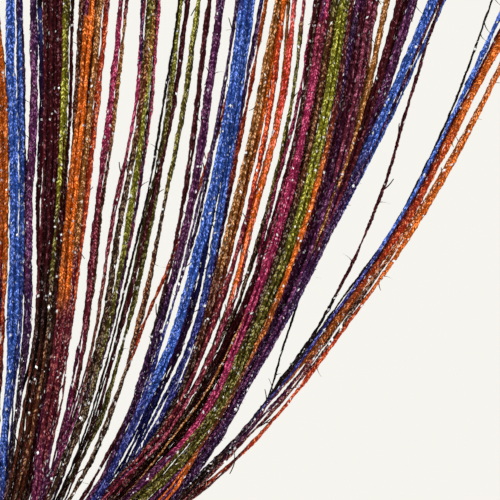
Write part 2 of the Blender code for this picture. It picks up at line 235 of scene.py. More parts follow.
# Woven cloth's finish: thread pitch, fuzz and worn patches, tones, gloss and relief
THREAD_PITCH = 0.0009
WEAVE_SHARE, RIB_SHARE = 0.25, 0.12
CLOTH_FUZZ_SCALE, WORN_SCALE = 1300.0, 45.0
CLOTH_TONES, WORN_TONES = (0.45, 1.55), (0.82, 1.15)
CLOTH_ROUGHNESS, CLOTH_SPECULAR = (0.72, 0.92), 0.15
CLOTH_RELIEF = 0.0003
RELIEF_STRENGTH = 0.8

# Dyes of the yarn, as sRGB 0 to 255, each under the letter that the locks' dye runs use
DYES = {
    "B": (44, 80, 166),
    "N": (30, 33, 106),
    "S": (54, 62, 138),
    "V": (48, 14, 58),
    "P": (77, 24, 68),
    "U": (66, 6, 16),
    "W": (98, 28, 48),
    "C": (100, 22, 40),
    "Q": (104, 24, 72),
    "E": (184, 62, 50),
    "M": (146, 30, 74),
    "K": (184, 60, 92),
    "F": (174, 48, 20),
    "O": (200, 90, 14),
    "T": (140, 64, 14),
    "R": (82, 34, 14),
    "G": (148, 88, 32),
    "Y": (112, 107, 14),
    "L": (72, 62, 11),
    "D": (46, 20, 10),
    "X": (22, 7, 12),
}

# How each family of yarn catches the light, as painted highlight: the tint of its highlight dots, partly a
# plied bright thread, and how often they show
PAINTED_HIGHLIGHTS = {
    "blue": ((0.42, 0.60, 1.0), 0.52),
    "burgundy": ((0.46, 0.10, 0.20), 0.36),
    "dark": ((0.26, 0.14, 0.10), 0.30),
    "gold": ((1.0, 0.80, 0.46), 0.60),
    "magenta": ((0.74, 0.32, 0.46), 0.52),
    "olive": ((0.82, 0.90, 0.24), 0.58),
    "orange": ((1.0, 0.54, 0.14), 0.46),
    "plum": ((0.62, 0.38, 0.68), 0.50),
}

# One row for each lock of strings: the slot of its yarn, its places in photo pixels at ROWS_PX, its
# dyes at the same heights, how many strings it holds, their pitch in pixels and width in millimetres,
# and its layer from -0.5 in front to 0.5 behind, or None where its strings take turns.
# Low in the window the dyes turn darker: that is partly the yarn's own changes and partly painted shade.
LOCKS = (
    ("plum", (-24, -16, -10, -9, -14, -16), "PPVVPP", 6, 2.2, 2.4, None),
    ("magenta", (-14, -8, -4, -3, -9, -12), "KMMPPM", 4, 2.0, 2.4, None),
    ("orange", (-6, 2, 4, 1, -5, -8.5), "FOOFUU", 4, 1.8, 2.4, None),
    ("blue", (10.3, 11.2, 14, 12, 5, 0), "BBBBBN", 5, 1.5, 2.4, -0.3),
    ("blue", (18.7, 20, 22, 18.5, 9, 3), "VBBSNN", 3, 1.1, 2.3, -0.1),
    ("plum", (21, 24, 26, 24, 13, 5), "VVVNDD", 1, 2.0, 1.6, 0.2),
    ("plum", (34, 34, 27.6, 27.5, 15, 5), "VPPVXD", 4, 1.4, 2.4, None),
    ("dark", (39.5, 42.3, 38, 38, 19, 7), "SVUXXD", 2, 1.7, 2.2, None),
    ("burgundy", (52.5, 53.5, 50, 44, 28, 13), "UUUDRR", 9, 2.1, 2.5, None),
    ("dark", (55, 56, 52, 46, 31, 17), "UUXDRD", 7, 2.2, 2.2, 0.35),
    ("olive", (47, 45.5, 42, 40, 22, 9), "ULDXDD", 1, 2.0, 1.8, 0.1),
    ("olive", (66.5, 65, 58, 49, 33, 18), "LYLDRD", 2, 2.6, 2.7, -0.3),
    ("burgundy", (73, 70, 62.5, 53, 36, 22), "UUUUUD", 1, 2.0, 2.2, None),
    ("magenta", (60, 60, 59, 58, 44.5, 33), "UUUCQQ", 6, 1.9, 2.4, -0.1),
    ("gold", (83, 77, 70, 61, 45, 31), "RRTCCU", 2, 2.2, 2.3, 0.2),
    ("orange", (91, 82.5, 70, 62, 45, 33), "OOOCCQ", 5, 1.7, 2.5, -0.35),
    ("dark", (92, 84, 72, 61, 41, 27), "RRRCUU", 4, 2.4, 2.2, 0.4),
    ("gold", (99.7, 90.5, 78, 66, 48, 36), "GGGCCQ", 4, 1.6, 2.4, None),
    ("orange", (107, 98, 85, 70, 55, 39), "FFFCCP", 2, 2.1, 2.4, None),
    ("magenta", (121.5, 111, 97, 85, 63, 42), "MMCCQP", 2, 2.2, 2.4, None),
    ("gold", (127.5, 116.5, 100, 88, 66, 44), "GGRRCU", 1, 2.0, 2.5, None),
    ("magenta", (143.5, 137, 113, 97, 70, 46), "VMCRQU", 2, 1.6, 2.1, None),
    ("olive", (150.5, 142, 121, 104, 74, 48), "LRDDDD", 3, 1.5, 2.4, None),
    ("olive", (154.5, 146, 129, 109, 78, 51), "GYYLDD", 3, 1.2, 2.3, -0.2),
    ("magenta", (159, 151, 134.5, 111, 81, 53), "KKKPPP", 1, 2.0, 2.4, None),
    ("plum", (157, 149, 133, 109, 76, 50), "DDVVVV", 2, 2.6, 1.6, 0.3),
    ("dark", (179, 164.5, 142, 116, 86, 56), "XXXDDX", 1, 2.0, 1.7, 0.1),
    ("dark", (181, 170, 145, 119, 89, 59), "LLLDDX", 1, 2.0, 1.8, 0.3),
    ("olive", (180.5, 170, 151.5, 129, 96, 61), "YLLLLD", 2, 1.6, 2.3, None),
    ("burgundy", (187.5, 175, 148, 123, 92, 62), "UUUUDU", 2, 1.7, 2.2, None),
    ("olive", (198.5, 185, 161.5, 139.5, 104, 68), "YLDRDD", 2, 1.2, 2.2, None),
    ("burgundy", (209.5, 198.5, 180, 156, 121, 83), "UUUXUU", 2, 1.8, 2.2, None),
    ("plum", (221, 208.3, 187.8, 160, 126, 87), "PPPVVP", 4, 1.5, 2.4, -0.2),
    ("orange", (242, 227, 187, 144.5, 103, 68), "FFFFRD", 1, 2.0, 2.6, 0.4),
    ("blue", (237, 222.5, 197, 168, 131, 90), "VVVNNN", 2, 1.2, 2.0, None),
    ("blue", (244, 230.5, 206, 177.5, 133, 94), "BBBBSN", 6, 1.3, 2.4, -0.35),
    ("blue", (252.5, 238, 218.5, 197, 151, 104), "BBBNNN", 5, 1.0, 2.2, -0.1),
    ("dark", (246, 232, 210, 186, 141, 99), "NNNVNN", 5, 1.4, 2.2, 0.4),
    ("plum", (261.5, 243.5, 222, 199, 156, 108), "VVVNNV", 2, 1.5, 2.0, None),
    ("orange", (266, 248.5, 224, 201, 158, 110), "OFVNVV", 1, 2.0, 2.4, None),
    ("dark", (279, 262.5, 234, 206, 162, 104), "RRRRDU", 6, 0.9, 2.2, 0.4),
    ("gold", (278.5, 260.5, 232, 204, 160, 104), "GGGRDD", 4, 1.4, 2.3, -0.1),
    ("orange", (281.5, 266.5, 237.5, 209, 163, 101), "OOTCDD", 2, 2.0, 2.3, None),
    ("orange", (284.5, 272.5, 246, 213, 165, 98), "OFCCCC", 3, 1.2, 2.3, -0.1),
    ("orange", (289, 279.5, 250, 221, 168, 106), "GOORDD", 1, 2.0, 2.2, -0.2),
    ("magenta", (294.7, 283.5, 253, 224, 171, 109), "EFOCCC", 3, 1.1, 2.3, -0.2),
    ("olive", (304.5, 292, 264.5, 230, 174, 112), "MLDDDD", 2, 1.2, 2.2, None),
    ("magenta", (315, 298.5, 268, 238, 179, 115), "MMMCUU", 1, 2.0, 2.4, None),
    ("burgundy", (317, 304.5, 274, 235, 174, 114), "UUUUDU", 4, 1.1, 2.2, 0.1),
    ("gold", (318, 305, 277, 241, 181, 121), "DDDGGD", 1, 2.0, 2.0, -0.3),
    ("burgundy", (320, 306, 276, 237, 178, 118), "CLUCDU", 6, 1.1, 2.2, 0.35),
    ("magenta", (326.3, 310, 280.4, 244.7, 195, 126), "CMMMMP", 5, 1.5, 2.5, -0.3),
    ("dark", (332, 314, 286, 249, 190, 128), "DRDRRD", 7, 2.6, 2.2, 0.4),
    ("olive", (334, 318, 289.5, 251, 200, 134), "LRDDLL", 5, 1.8, 2.4, None),
    ("olive", (344.7, 328.5, 299, 258, 208.6, 145), "YYYLLL", 5, 1.9, 2.5, -0.4),
    ("blue", (352.5, 336, 304, 263, 212, 152), "BNNRRD", 1, 2.0, 1.8, 0.1),
    ("plum", (358.3, 339, 310, 268, 215, 156), "VVUPPP", 3, 1.4, 2.4, None),
    ("orange", (352, 338, 306, 266.5, 213, 160), "UUOTRO", 2, 1.4, 2.2, -0.5),
    ("plum", (368.5, 352, 320.5, 275, 216, 163), "WWPPPP", 9, 1.8, 2.3, None),
    ("dark", (365, 350, 316.5, 272, 214.5, 160), "UUUPVP", 7, 2.2, 2.2, 0.4),
    ("dark", (373, 355, 328, 290, 250, 176), "PPXXXX", 1, 2.0, 1.4, None),
    ("gold", (376.5, 362, 323, 276, 216.5, 168), "GGGPVD", 1, 2.0, 2.5, None),
    ("gold", (387, 366, 325.5, 277.5, 217, 170), "GGGPVD", 3, 1.4, 2.4, -0.2),
    ("burgundy", (400.5, 372.5, 329, 278.5, 218, 171), "UUWVPP", 4, 1.4, 2.3, None),
    ("burgundy", (409, 378, 329, 276, 217, 168), "UUUVPP", 5, 2.2, 2.2, 0.4),
    ("plum", (413, 381.5, 332.5, 279, 219.5, 172), "PPVVVP", 6, 1.5, 2.2, None),
    ("blue", (433, 391, 334.5, 280.5, 221, 174), "BBVVVV", 5, 1.4, 2.1, -0.3),
    ("plum", (439.3, 396.5, 336.5, 282.5, 223, 175), "UVVVVP", 1, 2.0, 2.2, None),
    ("blue", (444, 400.5, 338.5, 284, 224, 176), "BBNNVV", 1, 2.0, 1.9, None),
    ("burgundy", (441.5, 410, 371.8, 319, 245, 178), "UUUXXX", 1, 2.0, 2.3, 0.2),
    ("dark", (491.3, 456.4, 398, 323, 244, 178), "XXXXXX", 1, 2.0, 1.5, None),
    ("blue", (506, 461.5, 400, 327, 245, 179), "BBBNXX", 2, 1.6, 1.9, None),
    ("burgundy", (514, 465, 402.5, 329, 246, 180), "UUUUUU", 1, 2.0, 1.8, 0.2),
    ("orange", (519.5, 470, 407, 333, 248, 181), "OOFTPD", 4, 1.7, 2.3, None),
    ("gold", (530.5, 483.5, 414.5, 340, 257.5, 185), "GTTDUU", 2, 1.5, 1.9, None),
    ("orange", (533, 485.5, 420, 346.5, 265, 189), "TOOFFU", 3, 1.4, 2.0, None),
)

# Levels along a string: 0 root, 1 middle, 2 to 7 the tabled rows, 8 and 9 into and out of the tie,
# 10 bend, 11 hang, 12 end. Each span is (from, to, steps, whether its stitches are modelled).
SPANS = (
    (0.00, 1.96, 26, False),
    (1.96, 2.00, 12, True),
    (2.00, 3.00, 50, True),
    (3.00, 4.00, 62, True),
    (4.00, 5.00, 54, True),
    (5.00, 6.00, 52, True),
    (6.00, 7.00, 36, True),
    (7.00, 7.20, 10, True),
    (7.20, 8.00, 8, False),
    (8.00, 9.00, 4, False),
    (9.00, 10.00, 5, False),
    (10.00, 11.00, 8, False),
    (11.00, 12.00, 26, False),
)
TIE_LEVEL = 8

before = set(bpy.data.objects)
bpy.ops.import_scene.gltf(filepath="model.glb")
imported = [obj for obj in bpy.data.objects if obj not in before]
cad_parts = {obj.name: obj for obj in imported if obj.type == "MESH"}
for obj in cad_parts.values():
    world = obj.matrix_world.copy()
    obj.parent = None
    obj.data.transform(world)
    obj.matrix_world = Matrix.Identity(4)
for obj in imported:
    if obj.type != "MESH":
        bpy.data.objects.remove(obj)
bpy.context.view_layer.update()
head_low, head_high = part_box("heading")
HEAD_LEFT, HEAD_RIGHT = head_low.x, head_high.x

# The tie's directions: along the strings, across them, and to the back. Then its middle and its eye
TIE_AXIS = np.array([-math.sin(TIE_TILT), 0.0, -math.cos(TIE_TILT)])
TIE_ACROSS = np.array([math.cos(TIE_TILT), 0.0, -math.sin(TIE_TILT)])
BACK = np.array([0.0, 1.0, 0.0])
TIE_MIDDLE = np.array([TIE_CENTRE[0], 0.0, TIE_CENTRE[1]])
TIE_EYE = TIE_MIDDLE - (TIE_TAB_REACH - TIE_EYE_FROM_END) * TIE_ACROSS


def linear(colour):
    """An sRGB colour of 0 to 255 as the linear numbers that shaders and attributes take."""
    share = np.asarray(colour, float) / 255
    return np.where(share <= 0.04045, share / 12.92, ((share + 0.055) / 1.055) ** 2.4)


def smooth_step(low, high, value):
    share = np.clip((value - low) / (high - low), 0, 1)
    return share * share * (3 - 2 * share)


def fold_wave(x):
    """Depth of the heading's soft folds at x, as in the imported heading."""
    turn = TURN * (x - HEAD_LEFT) / FOLD_LENGTH
    uneven = 1 + 0.22 * np.sin(0.37 * turn + 1.0)
    return FOLD_DEPTH * uneven * np.sin(turn + 0.5 * np.sin(0.29 * turn))


def soft_waves(rng, along, wavelengths, amplitude):
    """For each string a smooth random wave along it: sums of sines about the given wavelengths."""
    count = along.shape[0]
    total = np.zeros_like(along)
    for wavelength in wavelengths:
        length = wavelength * rng.uniform(*WAVE_SPREAD, (count, 1))
        phase = rng.uniform(0, TURN, (count, 1))
        total += np.sin(TURN * along / length + phase)
    return amplitude * total / math.sqrt(len(wavelengths))


def string_table(rng):
    """The locks spread into single strings, in order from the left at the window's top."""
    strings = []
    for slot, places, dyes, count, pitch, width, layer in LOCKS:
        for number in range(count):
            aside = (number - (count - 1) / 2) * pitch
            xs = [x + aside * share for x, share in zip(places, ROW_PITCH_SHARE)]
            xs = [x + rng.normal(0, stray) * (count > 1) for x, stray in zip(xs, ROW_STRAY)]
            strings.append({"slot": slot, "xs": xs, "dyes": dyes, "layer": layer, "width": width * MM})
    strings.sort(key=lambda s: s["xs"][0])
    return strings


def bundle_places(count):
    """Each string's layer and its place in the tied bundle, a disc of radius 1, in order from the left."""
    rank = (np.arange(count) + 0.5) / count
    angle = np.linspace(0, math.pi, AREA_STEPS)
    area = (angle - np.sin(angle) * np.cos(angle)) / math.pi
    across = -np.cos(np.interp(rank, area, angle))
    layer = (LAYER_START + np.arange(count) * GOLDEN_STEP) % 1.0 - 0.5
    places = np.stack([across, 2 * layer * np.sqrt(1 - across**2)], 1)
    for _ in range(SETTLE_STEPS):
        gaps = places[:, None] - places[None]
        reach = np.linalg.norm(gaps, axis=2) + np.eye(count)
        push = np.clip(BUNDLE_PITCH / BUNDLE_RADIUS - reach, 0, None) / reach
        places = places + 0.5 * (push[..., None] * gaps).sum(1)
        places /= np.maximum(1, np.linalg.norm(places, axis=1))[:, None]
    return layer, places[:, 0], places[:, 1]


def section_points(centre, tilt, across, depth):
    """Points of the bundle's section with that centre and tilt, from how far across and deep they lie."""
    x = centre[0] + across * math.cos(tilt)
    z = centre[1] - across * math.sin(tilt)
    return np.stack([x, depth, z], 1)


def seen_at(x, z, depth):
    """Where a point at this depth lies to show at (x, z) of the curtain's middle plane."""
    nearer = (CAMERA_DISTANCE + depth) / CAMERA_DISTANCE
    return np.stack([VIEW_X + (x - VIEW_X) * nearer, depth, VIEW_Z + (z - VIEW_Z) * nearer], 1)


def string_levels(strings):
    """Where every string is at thirteen levels from root to end, as an array (string, level, xyz)."""
    count = len(strings)
    turn_layer, across, deep = bundle_places(count)
    given = [s["layer"] for s in strings]
    layer = np.array([t if g is None else g + LAYER_TURNS * t for g, t in zip(given, turn_layer)])
    pitch = (HEAD_RIGHT - HEAD_LEFT) / count
    root_x = HEAD_LEFT + (np.arange(count) + 0.5) * pitch
    root = np.stack([root_x, fold_wave(root_x), np.full(count, SKIRT_BOTTOM - ROOT_DROP)], 1)
    xs = np.array([s["xs"] for s in strings])
    tabled = []
    for column, (row, depth) in enumerate(zip(ROWS_PX, ROW_DEPTH)):
        x = VIEW_LEFT + xs[:, column] * PIXEL
        tabled.append(seen_at(x, np.full(count, VIEW_TOP - row * PIXEL), layer * depth))
    middle = root + (tabled[0] - root) * np.array([MIDDLE_DRIFT, 0.5, 0.5])
    levels = [root, middle, *tabled]
    # In the tie the strings are in order of their places at the foot of the photograph.
    order = np.argsort(np.argsort(xs[:, -1], kind="stable"), kind="stable")
    across, deep = BUNDLE_RADIUS * across[order], BUNDLE_RADIUS * deep[order]
    for offset in (-TIE_RUN / 2, TIE_RUN / 2):
        centre = (TIE_MIDDLE + offset * TIE_AXIS)[[0, 2]]
        levels.append(section_points(centre, TIE_TILT, across, deep))
    for dx, dz, tilt, spread in (BEND, HANG):
        centre = (TIE_CENTRE[0] + dx, TIE_CENTRE[1] + dz)
        levels.append(section_points(centre, math.radians(tilt), spread * across, spread * deep))
    used = sum(np.linalg.norm(b - a, axis=1) for a, b in zip(levels, levels[1:]))
    end = levels[-1].copy()
    end[:, 0] = TIE_CENTRE[0] + HANG[0] + TAIL_SPREAD * across
    end[:, 1] = TAIL_SPREAD * deep
    end[:, 2] -= STRING_LENGTH - used
    return np.stack([*levels, end], 1)


def along_levels(levels, stations):
    """Smooth curves through the levels, read at the stations, as an array (string, station, xyz)."""
    steps = np.linalg.norm(np.diff(levels, axis=1), axis=2).mean(0)
    knots = np.concatenate([[0.0], np.cumsum(steps)])
    slopes = np.diff(levels, axis=1) / np.diff(knots)[None, :, None]
    before, after = np.diff(knots)[:-1], np.diff(knots)[1:]
    inner = slopes[:, :-1] * after[None, :, None] + slopes[:, 1:] * before[None, :, None]
    inner = inner / (before + after)[None, :, None]
    tangents = np.concatenate([slopes[:, :1], inner, slopes[:, -1:]], 1)
    tangents[:, TIE_LEVEL] = slopes[:, TIE_LEVEL]
    tangents[:, TIE_LEVEL + 1] = slopes[:, TIE_LEVEL]
    points = []
    for station in stations:
        k = min(int(station), levels.shape[1] - 2)
        t = station - k
        span = knots[k + 1] - knots[k]
        p0, p1 = levels[:, k], levels[:, k + 1]
        m0, m1 = tangents[:, k] * span, tangents[:, k + 1] * span
        points.append(
            (2 * t**3 - 3 * t**2 + 1) * p0
            + (t**3 - 2 * t**2 + t) * m0
            + (3 * t**2 - 2 * t**3) * p1
            + (t**3 - t**2) * m1
        )
    return np.stack(points, 1)


def stations_and_detail():
    """The stations along a string, and at each whether its stitches are modelled."""
    stations, detail = [0.0], [0.0]
    for start, stop, steps, stitched in SPANS:
        for step in range(1, steps + 1):
            stations.append(start + (stop - start) * step / steps)
            detail.append(float(stitched))
    return np.array(stations), np.array(detail)


def string_frames(points):
    """Unit vectors at each point: along the string, across it as seen from the front, and to the back."""
    ahead = np.gradient(points, axis=1)
    ahead /= np.linalg.norm(ahead, axis=2, keepdims=True)
    side = np.cross(np.array([0.0, -1.0, 0.0]), ahead)
    side /= np.linalg.norm(side, axis=2, keepdims=True)
    deep = np.cross(side, ahead)
    deep *= np.sign(deep[..., 1:2])
    return ahead, side, deep


def strayed(rng, points, along, stations, detail):
    """The strings' points, moved by slow waves where the strings hang free and by the yarn's crimp."""
    _, side, deep = string_frames(points)
    free = smooth_step(*FREE_FROM, stations) * (1 - smooth_step(*FREE_TO, stations))
    free += TAIL_WANDER * smooth_step(*TAIL_FROM, stations)
    slow = soft_waves(rng, along, WANDER_WAVES, WANDER)
    slow *= 1 + LOW_WANDER * smooth_step(*LOW_DOWN, stations)
    slow_deep = soft_waves(rng, along, DEEP_WANDER_WAVES, DEEP_WANDER)
    crimp = soft_waves(rng, along, CRIMP_WAVES, CRIMP) * detail
    return points + (slow * free + crimp)[..., None] * side + (slow_deep * free)[..., None] * deep


def string_forms(rng, strings, points, along, stations, detail):
    """Each string's directions and half widths at its points, and there its ring of four points."""
    count = len(strings)
    ahead, side, deep = string_frames(points)
    low_down = smooth_step(*LOW_DOWN, stations)
    twist = soft_waves(rng, along, TWIST_WAVES, TWIST) * (1 + LOW_TWIST * low_down)
    twist += rng.uniform(-TWIST_START, TWIST_START, (count, 1))
    twist = twist[..., None]
    flat = np.cos(twist) * side + np.sin(twist) * deep
    thick = np.cos(twist) * deep - np.sin(twist) * side
    swell = 1 + soft_waves(rng, along, SWELL_WAVES, SWELL) + rng.normal(0, OWN_SWELL, (count, 1))
    widths = np.array([s["width"] for s in strings])[:, None]
    half = widths / 2 * np.clip(swell, *WIDTH_LIMITS) * (1 - LOW_NARROWING * low_down)
    body = STRING_THICKNESS / 2 * np.clip(swell, *THICKNESS_LIMITS)
    # The edges are ragged, and go in and out by turns with the stitches.
    parity = np.where(np.arange(len(stations)) % 2, 1.0, -1.0) * detail
    left = half * (1 + STITCH_STEP * parity + rng.normal(0, RAGGED, half.shape) * detail)
    right = half * (1 - STITCH_STEP * parity + rng.normal(0, RAGGED, half.shape) * detail)
    zigzag = (ZIGZAG * half * parity)[..., None] * flat
    rings = [
        points - left[..., None] * flat,
        points - body[..., None] * thick + zigzag,
        points + right[..., None] * flat,
        points + body[..., None] * thick - zigzag,
    ]
    forms = {"points": points, "ahead": ahead, "flat": flat, "thick": thick, "half": half, "body": body}
    return forms, np.stack(rings, 2)


def dye_colours(rng, strings, stations, along):
    """The colour along each string: its lock's dyes by height, darker low in the window partly as painted
    shade, with every string's own short changes.
    """
    colours = np.zeros((*along.shape, 3))
    rows = np.arange(2.0, 2.0 + len(ROWS_PX))
    for i, string in enumerate(strings):
        dyes = [linear(DYES[letter]) for letter in string["dyes"]]
        # Above and below the window the same dyes come again, a dye to about a hand's length.
        above = [dyes[k] for k in rng.permutation(len(dyes))]
        below = [dyes[k] for k in rng.permutation(len(dyes))]
        heights = (np.linspace(*DYES_ABOVE, len(above)), rows, np.linspace(*DYES_BELOW, len(below)))
        stops = np.concatenate(heights)
        shades = np.array(above + dyes + below)
        shift = np.sin(DYE_SHIFT_RATE * stations + rng.uniform(0, DYE_SHIFT_START))
        moved = stations + DYE_SHIFT * shift * (stations > 1)
        # A dye holds for a while and then changes over a short stretch.
        place = np.interp(moved, stops, np.arange(len(stops)))
        whole = np.floor(place)
        place = whole + smooth_step(*DYE_CHANGE, place - whole)
        for channel in range(3):
            colours[i, :, channel] = np.interp(place, np.arange(len(stops)), shades[:, channel])
    tone = 1 + soft_waves(rng, along, TONE_WAVES, TONE) + rng.normal(0, OWN_TONE, (len(strings), 1))
    return np.clip(colours * np.clip(tone, *TONE_LIMITS)[..., None], 0, 1)


def mesh_object(name, points, faces, smooth=True):
    """A named object from an array of points and an array of equal-sized faces."""
    mesh = bpy.data.meshes.new(name)
    points = np.asarray(points, np.float32).reshape(-1, 3)
    faces = np.asarray(faces, np.int32)
    total, corners = faces.shape
    mesh.vertices.add(len(points))
    mesh.vertices.foreach_set("co", points.ravel())
    mesh.loops.add(total * corners)
    mesh.loops.foreach_set("vertex_index", faces.ravel())
    mesh.polygons.add(total)
    mesh.polygons.foreach_set("loop_start", np.arange(total, dtype=np.int32) * corners)
    mesh.polygons.foreach_set("use_smooth", np.full(total, smooth))
    mesh.update(calc_edges=True)
    mesh.validate()
    obj = bpy.data.objects.new(name, mesh)
    bpy.context.scene.collection.objects.link(obj)
    return obj


def repeated(faces, count):
    """The faces of so many copies of one small form, whose points follow one another."""
    faces = np.array(faces)
    return (np.arange(count)[:, None, None] * (faces.max() + 1) + faces).reshape(-1, faces.shape[1])


def add_uv(obj, name, corner_uv):
    layer = obj.data.uv_layers.new(name=name, do_init=False)
    layer.uv.foreach_set("vector", np.asarray(corner_uv, np.float32).ravel())


def add_colours(obj, name, point_colours):
    """A colour attribute with one linear colour for each point."""
    layer = obj.data.color_attributes.new(name, "FLOAT_COLOR", "POINT")
    rgba = np.ones((len(point_colours), 4), np.float32)
    rgba[:, :3] = point_colours
    layer.data.foreach_set("color", rgba.ravel())


class Shader:
    """A new material, with short ways to build its nodes. Wherever a socket is taken, a number or a
    colour will do, and is set on the node's own socket."""

    def __init__(self, name):
        self.material = bpy.data.materials.new(name)
        self.material.use_nodes = True
        self.tree = self.material.node_tree

    def put(self, inputs, given):
        for key, value in given.items():
            if hasattr(value, "node"):
                self.tree.links.new(value, inputs[key])
            elif inputs[key].type == "RGBA":
                inputs[key].default_value = (*value, 1.0)
            else:
                inputs[key].default_value = value

    def node(self, kind, given, **settings):
        """The outputs of a new node."""
        node = self.tree.nodes.new(kind)
        for key, value in settings.items():
            setattr(node, key, value)
        self.put(node.inputs, given)
        return node.outputs

    def place(self):
        return self.node("ShaderNodeTexCoord", {})["Object"]

    def map(self, name):
        """A mesh's map, whole and as its parts across and along."""
        uv = self.node("ShaderNodeUVMap", {}, uv_map=name)["UV"]
        parts = self.node("ShaderNodeSeparateXYZ", {"Vector": uv})
        return uv, parts["X"], parts["Y"]

    def math(self, operation, *given):
        return self.node("ShaderNodeMath", dict(enumerate(given)), operation=operation)[0]

    def noise(self, source, scale, detail=1.0):
        given = {"Vector": source, "Scale": scale, "Detail": detail}
        return self.node("ShaderNodeTexNoise", given)["Fac"]

    def ranged(self, source, low, high, to_low=0.0, to_high=1.0):
        """A source between low and high, clamped and mapped to to_low and to_high."""
        given = {"Value": source, "From Min": low, "From Max": high, "To Min": to_low, "To Max": to_high}
        return self.node("ShaderNodeMapRange", given)["Result"]

    def mixed(self, factor, first, second, blend="MIX"):
        given = {0: factor, 6: first, 7: second}
        return self.node("ShaderNodeMix", given, data_type="RGBA", blend_type=blend)[2]

    def shaded(self, colour, *tones):
        for tone in tones:
            colour = self.mixed(1.0, colour, tone, "MULTIPLY")
        return colour

    def relief(self, height, distance):
        given = {"Strength": RELIEF_STRENGTH, "Distance": distance, "Height": height}
        return self.node("ShaderNodeBump", given)["Normal"]

    def finish(self, colour, roughness, **given):
        """Sets what the surface takes, and returns the material."""
        given = {key.replace("_", " "): value for key, value in given.items()}
        surface = self.tree.nodes["Principled BSDF"]
        self.put(surface.inputs, {"Base Color": colour, "Roughness": roughness, **given})
        return self.material


def painted_highlight_dots(shader, place, across, slant, share):
    """Where the painted highlights show, partly standing for a plied bright thread: as dots in slanted
    rows, more of them in some places.
    """
    across = shader.math("MULTIPLY", across, DOTS_AROUND)
    slant = shader.math("MULTIPLY", slant, DOTS_PER_STITCH)
    joined = shader.node("ShaderNodeCombineXYZ", {"X": across, "Y": slant})[0]
    given = {"Vector": joined, "Scale": 1.0, "Randomness": DOT_UNEVENNESS}
    cells = shader.node("ShaderNodeTexVoronoi", given, voronoi_dimensions="2D")
    dot = shader.ranged(cells["Distance"], *DOT_EDGE)
    chosen = shader.ranged(shader.node("ShaderNodeSeparateColor", {0: cells["Color"]})[0], *DOTS_CHOSEN)
    low, high = PATCH_EDGE
    patch = shader.ranged(shader.noise(place, PATCH_SCALE, 2.0), low - share, high - share)
    return shader.math("MULTIPLY", shader.math("MULTIPLY", dot, chosen), patch)


def painted_highlight_colour(shader, dye, highlight):
    """The painted highlight's colour, a lightened copy of the dye: it takes after a dark dye, and shows
    its own tint on a light one.
    """
    given = {0: dye, 1: (HIGHLIGHT_GAIN, HIGHLIGHT_GAIN, HIGHLIGHT_GAIN), 2: HIGHLIGHT_LIFT}
    bright = shader.node("ShaderNodeVectorMath", given, operation="MULTIPLY_ADD")[0]
    lightness = shader.node("ShaderNodeRGBToBW", {0: dye})[0]
    return shader.mixed(shader.ranged(lightness, *DYE_LIGHTNESS, *OWN_TINT), bright, highlight)


def yarn_material(name, highlight, share):
    """Knitted space-dyed yarn: the dye attribute, slanted stitches with painted shade in their gaps and
    painted highlight on their tops, painted highlight dots that stand partly for a plied bright thread,
    and specks.
    """
    shader = Shader(name)
    dye = shader.node("ShaderNodeAttribute", {}, attribute_name="dye")["Color"]
    place = shader.place()
    uv, across, along = shader.map("yarn")
    # Stitches lean one way on the left half of the string and the other way on the right.
    slant = shader.math("MULTIPLY_ADD", shader.math("PINGPONG", across, 0.25), KNIT_LEAN, along)
    wave = shader.math("SINE", shader.math("MULTIPLY", slant, TURN))
    uneven = shader.math("MULTIPLY_ADD", wave, KNIT_SHARE, shader.noise(place, FUZZ_SCALE, 2.0))
    # Painted shade and highlight: the dye is darkened in the gaps between the stitches and lightened on
    # their tops.
    tone = shader.ranged(uneven, 0.1, 0.9, *KNIT_PAINTED_SHADING)
    # Filaments run along the string as lighter and darker streaks.
    drawn = shader.node("ShaderNodeMapping", {"Vector": uv, "Scale": STREAK_SCALE})["Vector"]
    streak = shader.ranged(shader.noise(drawn, 1.0), 0.3, 0.7, *STREAK_TONES)
    # Painted highlight dots on the stitches, in a lightened copy of the dye.
    painted_highlight_mask = painted_highlight_dots(shader, place, across, slant, share)
    lit = painted_highlight_colour(shader, dye, highlight)
    colour = shader.mixed(painted_highlight_mask, shader.shaded(dye, tone, streak), lit)
    # Fine tinsel specks show where a finer noise peaks.
    peak = shader.ranged(shader.noise(place, SPECK_SCALE), *SPECK_EDGE)
    colour = shader.mixed(peak, colour, SPECK_COLOUR)
    roughness = shader.ranged(peak, 0.0, 1.0, YARN_ROUGHNESS, SPECK_ROUGHNESS)
    normal = shader.relief(uneven, KNIT_RELIEF)
    return shader.finish(colour, roughness, Specular_IOR_Level=YARN_SPECULAR, Normal=normal)


def tinsel_material():
    """Bright metallic thread, a little uneven."""
    shader = Shader("tinsel")
    noise = shader.noise(shader.place(), TINSEL_SCALE, 2.0)
    colour = shader.mixed(shader.ranged(noise, 0.3, 0.7), *TINSEL_COLOURS)
    roughness = shader.ranged(noise, 0.0, 1.0, *TINSEL_ROUGHNESS)
    return shader.finish(colour, roughness, Metallic=TINSEL_METAL)


